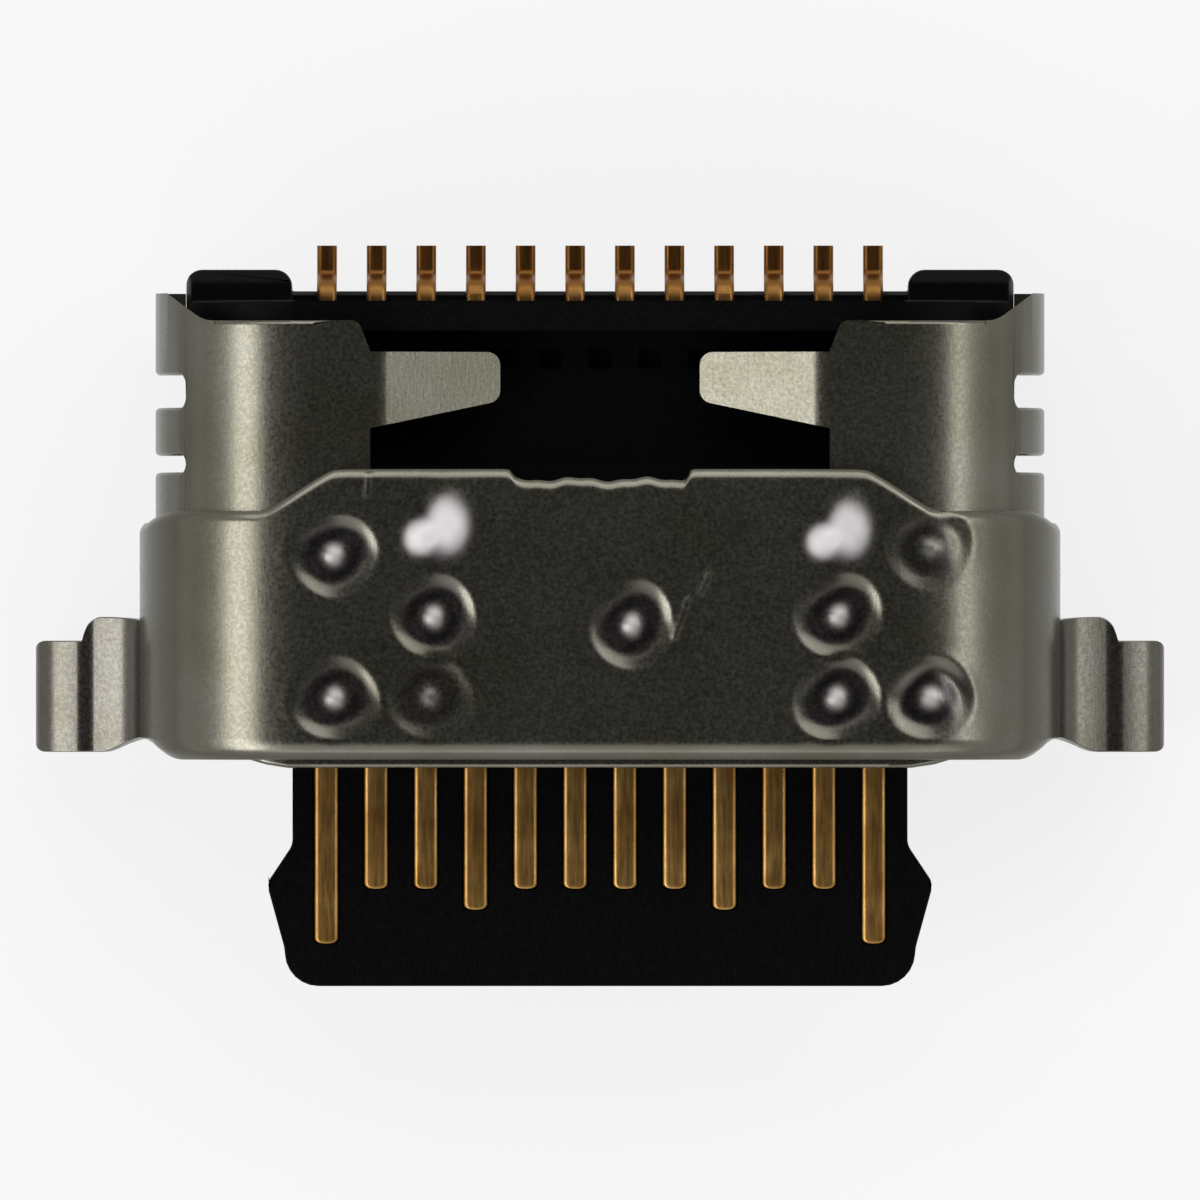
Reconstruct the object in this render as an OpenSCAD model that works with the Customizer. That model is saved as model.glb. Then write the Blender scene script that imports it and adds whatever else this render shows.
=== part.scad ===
// USB-C socket for sunk (mid-board) mounting, with 24 contacts and an open tongue.
// Millimetres. X runs across the plug, Y from the mating end (-) to the solder tails (+), and Z up.
// The origin is under the middle of the part, at the level of the shell's underside.

/* [Overall] */
// Depth of the shell's underside below the top of the board
sink = 1; // [0.9:0.05:1.1]
// Clearance between pieces that fit together
fit_gap = 0.01; // [0.005:0.005:0.015]

/* [Shell] */
// Width of the plug opening
opening_w = 8.34; // [8.3:0.01:8.45]
// Height of the plug opening, whose sides are full round
opening_h = 2.56; // [2.54:0.01:2.62]
// Thickness of the shell's sheet
shell_t = 0.3; // [0.2:0.01:0.32]
// How far the tongue reaches out in front of the shell
tongue_reach = 2.2; // [1.6:0.05:2.4]
// Length of the closed tube round the plug
tube_l = 2.96; // [2.85:0.01:3]
// Distance of the top panel's rear edge in front of the tail ends
panel_setback = 0.77; // [0.7:0.01:0.9]
// Distance of the rear edge's sweep from the shell's sides, at the top panel
sweep_inner = 0.5; // [0.4:0.02:0.7]
// Distance of the rear edge's sweep from the shell's sides, at the side walls
sweep_outer = 0.12; // [0.1:0.01:0.2]
// Distance of the side walls' rear edges in front of the tail ends
wall_setback = 0.49; // [0.45:0.01:0.55]
// Height of the side walls' lower edges above the board
wall_lift = 0.1; // [0.05:0.01:0.25]
// Width of the narrow slot behind the tube
narrow_slot_w = 0.17; // [0.12:0.01:0.2]
// Length of the side tab between the two slots
side_tab_l = 0.48; // [0.4:0.02:0.5]
// Width of the wide slot behind the side tab
wide_slot_w = 0.33; // [0.25:0.01:0.36]
// Height of the side slots' ends above the plug's axis
slot_rise = 0.92; // [0.8:0.02:1]
// Width of the cut-out in the top panel
cutout_w = 4.6; // [4.5:0.02:4.7]
// Length of the cut-out, from the panel's rear edge
cutout_l = 1.7; // [1.6:0.02:1.75]
// Width of the spring arms at their roots
arm_w = 0.765; // [0.6:0.005:0.8]
// Distance of the arms' rear edges from the panel's rear edge
arm_setback = 0.315; // [0.25:0.005:0.35]
// Distance of the arms' tips from the middle
arm_tip_x = 1; // [0.8:0.02:1.1]
// Slope of the arms, in degrees
arm_slope = 22; // [18:1:24]
// Taper of the arms' front edges, in degrees
arm_taper = 12; // [6:1:14]
// Width of the shell's through-board legs
shell_leg_w = 0.5; // [0.4:0.02:0.56]
// Width of the dovetailed seam in the underside
seam_w = 0.03; // [0.02:0.005:0.05]

/* [Legs] */
// Reach of every through-board leg below the top of the board
leg_reach = 0.85; // [0.7:0.05:0.88]
// Radius at the corners of the legs' ends
leg_end_r = 0.14; // [0.08:0.01:0.2]

/* [Bracket] */
// Distance from the side walls to the outer ends of the rear edge's slopes
slope_outer = 1.28; // [1.1:0.02:1.4]
// Distance from the side walls to the inner ends of the rear edge's slopes
slope_inner = 1.95; // [1.8:0.02:2.1]
// Radius at the corners of the bracket's slopes
slope_r = 0.12; // [0.05:0.01:0.2]
// Distance of the walls' front edges behind the top's front edge
wall_front_in = 0.2; // [0.1:0.01:0.22]
// Distance of the walls' rear edges in front of the bend's rear edge
wall_rear_in = 0.12; // [0.05:0.01:0.2]
// Radius at the front lower corners of the bracket's walls
wall_front_r = 0.15; // [0.1:0.01:0.25]
// Radius at the rear lower corners of the bracket's walls
wall_rear_r = 0.35; // [0.2:0.01:0.4]
// Thickness of the bracket's sheet
bracket_t = 0.15; // [0.12:0.01:0.18]
// Distance of the bracket's front edge behind the shell's mouth
bracket_setback = 0.08; // [0.05:0.01:0.15]
// Length of the bracket along the middle
bracket_l = 2.91; // [2.8:0.01:2.95]
// Length of the bracket's side walls
bracket_wall_l = 2.49; // [2.4:0.01:2.55]
// Height of the bracket's lower edges above the board
bracket_lift = 0.32; // [0.25:0.01:0.35]
// Width of the break-off notch in the rear edge
notch_w = 1.76; // [1.4:0.02:1.9]
// Depth of the break-off notch
notch_depth = 0.1; // [0.06:0.01:0.14]
// Radius of the concave bend from the wall to the foot
ear_inner_r = 0.4; // [0.35:0.01:0.45]
// Flat length of the foot between its bends
ear_flat = 0.16; // [0.1:0.01:0.25]
// Outer radius of the bend from the foot into the leg
ear_outer_r = 0.5; // [0.4:0.01:0.52]
// Width of the ears
ear_w = 1.12; // [0.9:0.02:1.16]
// Narrowing of the ears' roots and legs at each edge
ear_step = 0.06; // [0.03:0.01:0.1]
// Narrowing of the ears' front edges at their roots
ear_root_in = 0.14; // [0.12:0.01:0.18]
// Height of the hump in the ears' rear edges
ear_flare = 0.24; // [0.15:0.01:0.25]
// Reach of the hump outwards from the wall
ear_hump_l = 0.38; // [0.3:0.01:0.42]
// Radius at the corners of the ears
ear_r = 0.12; // [0.06:0.01:0.15]
// Distance of the ears behind the bracket's front edge
ear_setback = 0.07; // [0.05:0.01:0.15]
// Middle radius of the welds' ring groove
weld_r = 0.35; // [0.3:0.01:0.36]
// Width of the welds' ring groove
weld_groove_w = 0.14; // [0.1:0.01:0.16]
// Depth of the welds' ring groove
weld_depth = 0.03; // [0.015:0.005:0.045]
// Height of the dome in the middle of a weld
weld_dome_h = 0.012; // [0.006:0.002:0.02]

/* [Tongue] */
// Length of the thin part of the tongue
tongue_l = 4.45; // [4.4:0.01:4.5]
// Thickness over the contacts of both sides
tongue_t = 0.7; // [0.66:0.01:0.74]
// Width of the tongue's head
tongue_head_w = 6.66; // [6.6:0.01:6.72]
// Width of the tongue's neck, behind the latch shoulders
tongue_neck_w = 6.18; // [6.1:0.01:6.3]
// Distance of the latch shoulders from the tip
shoulder_l = 1.06; // [1:0.01:1.15]
// Width of the tongue across its front corners' taper
tongue_nose_w = 6.34; // [6.2:0.01:6.5]
// Length of the nose in front of the head's widest part
nose_l = 0.38; // [0.3:0.01:0.45]
// Radius of the nose's corners
nose_r = 0.34; // [0.2:0.01:0.36]
// Height by which the contacts stand proud of the plastic
contact_proud = 0.02; // [0.01:0.005:0.03]
// Length of the thick root between the tongue and the base
root_l = 0.475; // [0.4:0.005:0.55]
// Thickness of the thick root over its ground plates
root_t = 1.2; // [1.1:0.02:1.3]
// Width of the thick root
root_w = 6.4; // [6.2:0.02:6.6]
// Thickness of the ground plates on the root
ground_t = 0.1; // [0.08:0.01:0.12]
// Width of the ground plates
ground_w = 5.6; // [5:0.05:5.9]

/* [Contacts] */
// Distance between neighbouring contacts
pitch = 0.5; // [0.48:0.01:0.51]
// Contacts in each row
contacts = 12; // [12:1:12]
// Width of the contacts on the tongue
contact_w = 0.25; // [0.22:0.01:0.28]
// Width of the solder tails
tail_w = 0.2; // [0.16:0.01:0.22]
// Thickness of the contacts' strip
contact_t = 0.15; // [0.12:0.01:0.16]
// Distance of the longest contacts from the tip, for ground
ground_contact_setback = 0.43; // [0.4:0.01:0.5]
// Distance of the middle-length contacts from the tip, for power
power_contact_setback = 0.77; // [0.7:0.01:0.85]
// Distance of the short contacts from the tip, for signals
signal_contact_setback = 0.98; // [0.9:0.01:1.05]
// Distance from the upper row's turn down to the body's rear face
upper_turn_l = 0.6; // [0.5:0.01:0.65]
// Distance over which the upper row goes down inside the body
upper_drop_l = 0.2; // [0.18:0.01:0.26]
// Distance over which the rear tails go down from the ledge
tail_drop_l = 0.11; // [0.08:0.01:0.14]
// Distance from the board's edge to the lower row's turn down
lower_turn_l = 0.25; // [0.2:0.01:0.3]
// Distance over which the lower row goes down to its feet
lower_drop_l = 0.1; // [0.08:0.01:0.14]
// Length of the lower row's feet under the body
lower_foot_l = 0.45; // [0.35:0.01:0.5]
// Inner radius of the strip's bends
contact_bend_r = 0.06; // [0.03:0.01:0.08]

/* [Middle plate] */
// Thickness of the middle plate inside the tongue
mid_plate_t = 0.15; // [0.12:0.01:0.18]
// Distance from the middle plate to the upper row's turn
plate_clear = 0.25; // [0.2:0.01:0.3]
// Reach of the middle plate's wings beyond the tongue's neck
plate_wing = 0.3; // [0.2:0.01:0.4]
// Distance of the wings behind the base wall
plate_wing_setback = 0.1; // [0.08:0.01:0.2]
// Radius of the middle plate's three holes in the tongue
plate_hole_r = 0.45; // [0.3:0.01:0.5]
// Distance between the middle plate's holes
plate_hole_spacing = 2; // [1.6:0.05:2.2]
// Distance of the middle plate's holes from the tip
plate_hole_setback = 2.1; // [1.8:0.05:2.4]
// Width of the middle plate's window in the base
plate_window_w = 3.6; // [3:0.05:4]
// Length of the middle plate's window in the base
plate_window_l = 0.5; // [0.4:0.01:0.6]

/* [Body] */
// Length of the body from its base wall to its rear face
body_l = 1.955; // [1.85:0.005:2.2]
// Reach of the rear tails behind the body's rear face
tail_reach = 0.57; // [0.5:0.01:0.65]
// Depth of the ledge under the tails
ledge_l = 0.11; // [0.06:0.01:0.14]
// Height of the ledge above the board
ledge_h = 0.24; // [0.22:0.01:0.28]
// Width of the ledge
ledge_w = 6.2; // [6.1:0.02:6.3]
// Reach of the corner pads behind the body's rear face
pad_l = 0.32; // [0.28:0.01:0.34]
// Height of the corner pads above the board
pad_h = 0.95; // [0.8:0.02:1.1]
// Chamfer along the corner pads' upper edges
pad_chamfer = 0.12; // [0.06:0.01:0.16]
// Radius of the corner pads' upright edges
pad_r = 0.16; // [0.08:0.01:0.2]
// Distance from the base wall to the edge of the board's cut-out
plug_block_l = 0.55; // [0.5:0.01:0.6]
// Thickness of the walls in front of and behind the arms' pocket
base_wall = 0.3; // [0.2:0.01:0.36]
// Depth of the pocket under the spring arms
pocket_depth = 0.62; // [0.6:0.01:0.64]
// Width of the moulding windows over the upper contacts
window_w = 0.23; // [0.18:0.01:0.25]
// Moulding windows in the row
windows = 5; // [3:1:7]
// Radius of the locating pegs
peg_r = 0.25; // [0.2:0.01:0.28]
// Distance between the locating pegs
peg_spacing = 6.6; // [6.4:0.05:6.7]
// Length of the locating pegs under the body
peg_l = 0.6; // [0.5:0.02:0.7]

/* [Hidden] */
$fn = 64;
cut = 1; // how far a cutting tool runs past what it cuts

// Levels above the shell's underside
shell_h = opening_h + 2 * shell_t;
axis_z = shell_h / 2;
board_z = sink;
leg_end_z = board_z - leg_reach;
bracket_z = shell_h + fit_gap + bracket_t;

// Places along the part
overall_l = tongue_l + root_l + body_l + tail_reach;
tip_y = -overall_l / 2;
tail_end_y = overall_l / 2;
shell_front_y = tip_y + tongue_reach;
tube_rear_y = shell_front_y + tube_l;
narrow_slot_rear_y = tube_rear_y + narrow_slot_w;
wide_slot_front_y = narrow_slot_rear_y + side_tab_l;
wide_slot_rear_y = wide_slot_front_y + wide_slot_w;
panel_rear_y = tail_end_y - panel_setback;
wall_rear_y = tail_end_y - wall_setback;
bracket_front_y = shell_front_y + bracket_setback;
bracket_rear_y = bracket_front_y + bracket_l;
bracket_wall_rear_y = bracket_front_y + bracket_wall_l;
tongue_root_y = tip_y + tongue_l;
base_y = tongue_root_y + root_l;
board_edge_y = base_y + plug_block_l;
body_rear_y = base_y + body_l;
ledge_rear_y = body_rear_y + ledge_l;
pad_rear_y = body_rear_y + pad_l;

// Widths
shell_w = opening_w + 2 * shell_t;
bracket_w = shell_w + 2 * (fit_gap + bracket_t);
body_w = opening_w - 2 * fit_gap;
body_h = opening_h - 2 * fit_gap;
straight_w = shell_w - shell_h;
leg_y = (wide_slot_rear_y + wall_rear_y) / 2;

// The foot of an ear, whose underside lies on the board
ear_top_z = board_z + bracket_t;
ear_bend_x = bracket_w / 2 + ear_inner_r;
ear_edge_x = ear_bend_x + ear_flat + ear_outer_r;
ear_rear_y = bracket_front_y + ear_setback + ear_w;

// The contacts' strip: both rows lie in the tongue's faces
upper_z = axis_z + tongue_t / 2 - contact_t / 2;
lower_z = axis_z - tongue_t / 2 + contact_t / 2;
tail_z = board_z + ledge_h + fit_gap + contact_t / 2;
foot_z = board_z + contact_t / 2;
upper_turn_y = body_rear_y - upper_turn_l;
lower_turn_y = board_edge_y + lower_turn_l;
lower_end_y = lower_turn_y + lower_drop_l + lower_foot_l;
plate_rear_y = upper_turn_y - plate_clear;

function contact_name(row, i) = str(row, i < 10 ? "0" : "", i);

// ---- Outlines ----

function unit(v) = v / norm(v);

// The points of one corner p between its neighbours a and b, rounded to radius r
function round_corner(a, p, b, r, steps = 6) =
    r <= 0 ? [p] :
    let (
        u = unit(a - p),
        v = unit(b - p),
        half = acos(u * v) / 2,
        centre = p + unit(u + v) * r / sin(half),
        from = p + u * r / tan(half) - centre,
        start = atan2(from.y, from.x),
        sweep = sign(cross(-u, v)) * (180 - 2 * half)
    )
    [for (i = [0:steps]) centre + r * [cos(start + sweep * i / steps), sin(start + sweep * i / steps)]];

function flat(p) = [p.x, p.y];

// A closed outline from corners given as [x, y, radius]
function rounded(corners) =
    let (n = len(corners))
    [for (i = [0:n - 1])
        each round_corner(flat(corners[(i + n - 1) % n]), flat(corners[i]), flat(corners[(i + 1) % n]), corners[i].z)];

// An open path from corners given as [x, y, radius], whose ends stay sharp
function rounded_path(corners) =
    let (n = len(corners))
    [for (i = [0:n - 1])
        each (i == 0 || i == n - 1) ? [flat(corners[i])]
            : round_corner(flat(corners[i - 1]), flat(corners[i]), flat(corners[i + 1]), corners[i].z, 4)];

// The normal of a path at its point i, lengthened at a bend so that the strip keeps its thickness
function path_normal(path, i) =
    let (
        n = len(path),
        before = unit(path[max(i, 1)] - path[max(i, 1) - 1]),
        after = unit(path[min(i, n - 2) + 1] - path[min(i, n - 2)]),
        side = [-before.y - after.y, before.x + after.x]
    )
    side / (1 + before * after);

// The outline of a bent sheet seen from its edge
function strip(path, thickness) =
    let (n = len(path), half = thickness / 2)
    concat(
        [for (i = [0:n - 1]) path[i] + half * path_normal(path, i)],
        [for (i = [n - 1:-1:0]) path[i] - half * path_normal(path, i)]
    );

function mirrored(corners) = [for (i = [len(corners) - 1:-1:0]) [-corners[i].x, corners[i].y, corners[i].z]];

// ---- Extrusions ----

// A profile in (x, z), from y0 to y1
module along_y(y0, y1) translate([0, y1, 0]) rotate([90, 0, 0]) linear_extrude(y1 - y0) children();

// A profile in (y, z), from x0 to x1
module along_x(x0, x1) translate([x0, 0, 0]) rotate([90, 0, 90]) linear_extrude(x1 - x0) children();

module block(x0, x1, y0, y1, z0, z1) translate([x0, y0, z0]) cube([x1 - x0, y1 - y0, z1 - z0]);

module both_sides() {
    children();
    mirror([1, 0, 0]) children();
}

// A full-round oval about the plug's axis
module oval(w, h) {
    for (side = [-1, 1]) translate([side * (w - h) / 2, axis_z]) circle(h / 2);
    translate([-(w - h) / 2, axis_z - h / 2]) square([w - h, h]);
}

// The oval's upper half, with upright walls that go down to a level
module arch(w, h, low_z) {
    intersection() {
        oval(w, h);
        translate([-w, axis_z]) square([2 * w, h]);
    }
    translate([-w / 2, low_z]) square([w, axis_z - low_z]);
}

module arch_sheet(w, h, t, low_z) difference() {
    arch(w, h, low_z);
    arch(w - 2 * t, h - 2 * t, low_z - cut);
}

// ---- Shell ----

// The front edge is eased inside, as a lead for the plug, and less outside
module mouth_cut() {
    lead = shell_t * 0.5;
    depth = shell_t * 0.7;
    for (side = [-1, 1]) translate([side * straight_w / 2, shell_front_y, axis_z]) rotate([-90, 0, 0])
        cylinder(h = depth, r1 = opening_h / 2 + lead, r2 = opening_h / 2);
    along_x(-straight_w / 2, straight_w / 2) polygon([
        [shell_front_y, axis_z - opening_h / 2 - lead],
        [shell_front_y + depth, axis_z - opening_h / 2],
        [shell_front_y + depth, axis_z + opening_h / 2],
        [shell_front_y, axis_z + opening_h / 2 + lead]
    ]);
}

// The seam of the rolled sheet: one dovetail, wider at its head than at its neck
module seam_cut() {
    neck = 0.5;
    head = 0.75;
    depth = 0.9;
    mid_y = (shell_front_y + tube_rear_y) / 2;
    path = [
        [0, shell_front_y - cut], [0, mid_y - neck / 2], [depth, mid_y - head / 2],
        [depth, mid_y + head / 2], [0, mid_y + neck / 2], [0, tube_rear_y + cut]
    ];
    translate([0, 0, -cut]) linear_extrude(cut + shell_t * 1.5) polygon(strip(path, seam_w));
}

// Both side slots, cut upward from the walls' lower edges
module side_slots() {
    top_z = axis_z + slot_rise;
    for (slot = [[tube_rear_y, narrow_slot_rear_y], [wide_slot_front_y, wide_slot_rear_y]]) {
        r = min(0.1, (slot[1] - slot[0]) / 2 - 0.005);
        along_x(opening_w / 2 - opening_h / 4, shell_w / 2 + cut)
            polygon(rounded([[slot[0], -cut, 0], [slot[1], -cut, 0], [slot[1], top_z, r], [slot[0], top_z, r]]));
    }
}

// Plan of what is cut from the top panel: the cut-out, and the panel's rear edge with its swept corners
module panel_cut() {
    corner_x = shell_w / 2 - sweep_outer;
    sweep_x = shell_w / 2 - sweep_inner;
    front_y = panel_rear_y - cutout_l;
    half = cutout_w / 2;
    far_y = tail_end_y + cut;
    right = [
        [corner_x, far_y, 0], [corner_x, wall_rear_y, 0.05], [sweep_x, panel_rear_y, 0.3],
        [half + 0.12, panel_rear_y, 0.1], [half, panel_rear_y - 0.3, 0.1], [half, front_y, 0.12]
    ];
    translate([0, 0, axis_z]) linear_extrude(shell_h)
        polygon(rounded(concat(right, mirrored(right))));
}

// One spring arm: it leaves the edge of the cut-out and slopes down towards the middle
module spring_arm() {
    mid_z = shell_h - shell_t / 2;
    root_x = cutout_w / 2;
    drop = (root_x - arm_tip_x) * tan(arm_slope);
    rear_y = panel_rear_y - arm_setback;
    intersection() {
        along_y(rear_y - arm_w - cut, rear_y + cut) polygon(strip(rounded_path([
            [root_x + 0.2, mid_z, 0], [root_x - 0.06, mid_z, 0.3], [arm_tip_x, mid_z - drop, 0]
        ]), shell_t));
        linear_extrude(shell_h + cut) polygon(rounded([
            [root_x + 0.2, rear_y, 0], [arm_tip_x, rear_y, 0.13],
            [arm_tip_x, rear_y - arm_w + (root_x - arm_tip_x) * tan(arm_taper), 0.13],
            [root_x, rear_y - arm_w, 0], [root_x + 0.2, rear_y - arm_w, 0]
        ]));
    }
}

// A through-board leg at the rear of a side wall
module shell_leg() along_x(opening_w / 2, shell_w / 2) polygon(rounded([
    [leg_y - shell_leg_w / 2, leg_end_z, leg_end_r], [leg_y + shell_leg_w / 2, leg_end_z, leg_end_r],
    [leg_y + shell_leg_w / 2, axis_z, 0], [leg_y - shell_leg_w / 2, axis_z, 0]
]));

module shell() color("silver") {
    difference() {
        union() {
            along_y(shell_front_y, tube_rear_y) difference() {
                oval(shell_w, shell_h);
                oval(opening_w, opening_h);
            }
            along_y(tube_rear_y, wall_rear_y) arch_sheet(shell_w, shell_h, shell_t, board_z + wall_lift);
        }
        mouth_cut();
        seam_cut();
        panel_cut();
        both_sides() side_slots();
    }
    both_sides() {
        spring_arm();
        shell_leg();
    }
}

// ---- Bracket ----

// Plan of the bracket over the shell; the rear edge has shoulders and a rough notch where the strip broke off
module bracket_plan() {
    wide = bracket_w / 2 + cut;
    shoulder_x = bracket_w / 2 - slope_outer;
    slope_x = bracket_w / 2 - slope_inner;
    ripple = 0.02;
    teeth = 6;
    right = [
        [wide, bracket_front_y, 0], [wide, bracket_wall_rear_y, 0], [shoulder_x, bracket_wall_rear_y, slope_r],
        [slope_x, bracket_rear_y, slope_r], [notch_w / 2 + 0.06, bracket_rear_y, 0.04]
    ];
    break_edge = [
        for (i = [0:teeth]) [
            notch_w * (0.5 - i / teeth),
            bracket_rear_y - notch_depth + ripple * cos(360 * 2.5 * i / teeth),
            0
        ]
    ];
    left = mirrored(right);
    polygon(rounded(concat(right, break_edge, left)));
}

// A weld: a ring groove round a low dome, sunk square to the sheet
module at_weld(p) {
    over = max(abs(p.x) - straight_w / 2, 0) * sign(p.x);
    top_r = shell_h / 2 + fit_gap + bracket_t;
    lean = asin(over / top_r);
    translate([p.x - over, p.y, axis_z]) rotate([0, lean, 0]) translate([0, 0, top_r]) children();
}

module weld_groove() {
    rim = weld_groove_w / 2;
    tool_r = (rim * rim + weld_depth * weld_depth) / (2 * weld_depth);
    translate([0, 0, tool_r - weld_depth]) rotate_extrude() translate([weld_r, 0]) circle(tool_r, $fn = 24);
}

module weld_dome() {
    base_r = weld_r - weld_groove_w / 2 - 0.06;
    dome_r = (base_r * base_r + weld_dome_h * weld_dome_h) / (2 * weld_dome_h);
    intersection() {
        translate([0, 0, weld_dome_h - dome_r]) sphere(dome_r);
        translate([0, 0, -bracket_t / 3]) cylinder(h = bracket_t, r = base_r);
    }
}

// Places of the eleven welds, from the bracket's middle and its front edge
welds = [
    [-2.66, 2.05], [-1.63, 2.28], [-1.66, 1.43], [-2.65, 0.62], [-1.7, 0.63], [0.32, 1.35],
    [2.39, 2.24], [2.39, 1.44], [2.37, 0.62], [3.3, 2.12], [3.31, 0.62]
];

function weld_place(w) = [w.x, bracket_front_y + w.y];

// One ear: down the wall, out along the board, and down through it
module ear() {
    wall_x = bracket_w / 2 - bracket_t / 2;
    leg_x = ear_edge_x - bracket_t / 2;
    foot = ear_top_z - bracket_t / 2;
    front_y = ear_rear_y - ear_w;
    step_z = board_z - 0.7 * bracket_t;
    hump_x = bracket_w / 2 + ear_hump_l;
    intersection() {
        along_y(front_y - cut, ear_rear_y + cut) polygon(strip(rounded_path([
            [wall_x, axis_z, 0], [wall_x, foot, ear_inner_r + bracket_t / 2],
            [leg_x, foot, ear_outer_r - bracket_t / 2], [leg_x, leg_end_z, 0]
        ]), bracket_t));
        linear_extrude(shell_h) polygon(rounded([
            [wall_x - bracket_t, front_y + ear_root_in, 0],
            [bracket_w / 2 + ear_step, front_y + ear_root_in, 0],
            [ear_bend_x, front_y, ear_r], [ear_edge_x, front_y, ear_r],
            [ear_edge_x, ear_rear_y, ear_r], [hump_x + ear_r, ear_rear_y, ear_step],
            [hump_x, ear_rear_y + ear_flare, ear_r], [wall_x - bracket_t, ear_rear_y + ear_flare, 0]
        ]));
        along_x(0, ear_edge_x + cut) polygon(rounded([
            [front_y - cut, axis_z + cut, 0], [front_y - cut, step_z, 0],
            [front_y + ear_step, step_z, ear_step], [front_y + ear_step, leg_end_z, leg_end_r],
            [ear_rear_y - ear_step, leg_end_z, leg_end_r], [ear_rear_y - ear_step, step_z, ear_step],
            [ear_rear_y + cut, step_z, 0], [ear_rear_y + cut, axis_z + cut, 0]
        ]));
    }
}

// Side view of the bracket's walls, whose lower corners are rounded
module bracket_side() {
    low_z = board_z + bracket_lift;
    bend_z = axis_z + 0.3;
    top_z = axis_z + 1;
    wall_front_y = bracket_front_y + wall_front_in;
    wall_back_y = bracket_wall_rear_y - wall_rear_in;
    polygon(rounded([
        [wall_front_y, low_z, wall_front_r], [wall_back_y, low_z, wall_rear_r], [wall_back_y, bend_z, 0.3],
        [bracket_wall_rear_y, top_z, 0], [bracket_rear_y + cut, top_z, 0],
        [bracket_rear_y + cut, bracket_z + cut, 0], [bracket_front_y, bracket_z + cut, 0],
        [bracket_front_y, top_z, 0.3], [wall_front_y, bend_z, 0.3]
    ]));
}

module bracket() color("lightgray") {
    sheet_w = shell_w + 2 * (fit_gap + bracket_t);
    difference() {
        intersection() {
            along_y(bracket_front_y, bracket_rear_y)
                arch_sheet(sheet_w, shell_h + 2 * (fit_gap + bracket_t), bracket_t, board_z + bracket_lift);
            linear_extrude(bracket_z + cut) bracket_plan();
            along_x(-bracket_w, bracket_w) bracket_side();
        }
        for (w = welds) at_weld(weld_place(w)) weld_groove();
    }
    for (w = welds) at_weld(weld_place(w)) weld_dome();
    both_sides() ear();
}

// ---- Tongue ----

// Plan of the tongue, with latch shoulders that the plug's side springs catch behind;
// rear lists the corners of its rear end on the right
module tongue_plan(rear, grow = 0) {
    head = tongue_head_w / 2 + grow;
    neck = tongue_neck_w / 2 + grow;
    nose = tongue_nose_w / 2 + grow;
    shoulder_y = tip_y + shoulder_l;
    right = concat(rear, [
        [neck, shoulder_y + 0.36, 0.2], [head, shoulder_y, 0.12],
        [head, shoulder_y - 0.1, 0.1], [nose, tip_y + nose_l - grow, 0.5], [nose - 0.02, tip_y - grow, nose_r]
    ]);
    polygon(rounded(concat(right, mirrored(right))));
}

// Windows in the middle plate, through which the tongue's two faces are one moulding
module plate_windows(shrink = 0) {
    for (side = [-1:1]) translate([side * plate_hole_spacing, tip_y + plate_hole_setback])
        circle(plate_hole_r - shrink);
    translate([0, (base_y + plate_rear_y) / 2])
        square([plate_window_w - 2 * shrink, plate_window_l - 2 * shrink], center = true);
}

// The plate strengthens the tongue and carries the latch shoulders; behind the base wall it is wider
module mid_plate_solid(grow = 0) {
    neck = tongue_neck_w / 2 + grow;
    wide = tongue_neck_w / 2 + plate_wing + grow;
    wide_y = base_y + plate_wing_setback - grow;
    rear = [[wide, plate_rear_y + grow, 0], [wide, wide_y, 0], [neck, wide_y, 0]];
    translate([0, 0, axis_z - mid_plate_t / 2 - grow]) linear_extrude(mid_plate_t + 2 * grow) difference() {
        tongue_plan(rear, grow);
        plate_windows(grow);
    }
}

module mid_plate() color("darkgray") mid_plate_solid();

// A thin plate on the root's top or bottom, hooked over its front edge and anchored in the base
module ground_plate_solid(grow = 0) {
    mid_z = axis_z + root_t / 2 - ground_t / 2;
    lip_y = tongue_root_y - ground_t / 2 - fit_gap;
    lip_z = axis_z + tongue_t / 2 + 0.05;
    half = ground_w / 2 + grow;
    along_x(-half, half) polygon(strip(rounded_path([
        [lip_y, lip_z - grow, 0], [lip_y, mid_z, ground_t], [base_y + 0.4 + grow, mid_z, 0]
    ]), ground_t + 2 * grow));
}

module below() translate([0, 0, 2 * axis_z]) mirror([0, 0, 1]) children();

module ground_plate_top() color("silver") ground_plate_solid();
module ground_plate_bottom() color("silver") below() ground_plate_solid();

// ---- Contacts ----

function contact_x(i) = pitch * (i - (contacts + 1) / 2);

// Ground contacts mate first, power next and signals last
function contact_setback(i) =
    (i == 1 || i == contacts) ? ground_contact_setback :
    (i == 4 || i == contacts - 3) ? power_contact_setback : signal_contact_setback;

// Upper row: along the tongue, down inside the body, over the ledge and out to a foot on the board
function upper_path() =
    let (r = contact_bend_r + contact_t / 2, run = ledge_rear_y + 0.02)
    rounded_path([
        [tip_y, upper_z, 0], [upper_turn_y, upper_z, r], [upper_turn_y + upper_drop_l, tail_z, r],
        [run, tail_z, r], [run + tail_drop_l, foot_z, r], [tail_end_y, foot_z, 0]
    ]);

// Lower row: along the tongue and down to a foot under the body
function lower_path() =
    let (r = contact_bend_r + contact_t / 2)
    rounded_path([
        [tip_y, lower_z, 0], [lower_turn_y, lower_z, r], [lower_turn_y + lower_drop_l, foot_z, r],
        [lower_end_y, foot_z, 0]
    ]);

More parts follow.
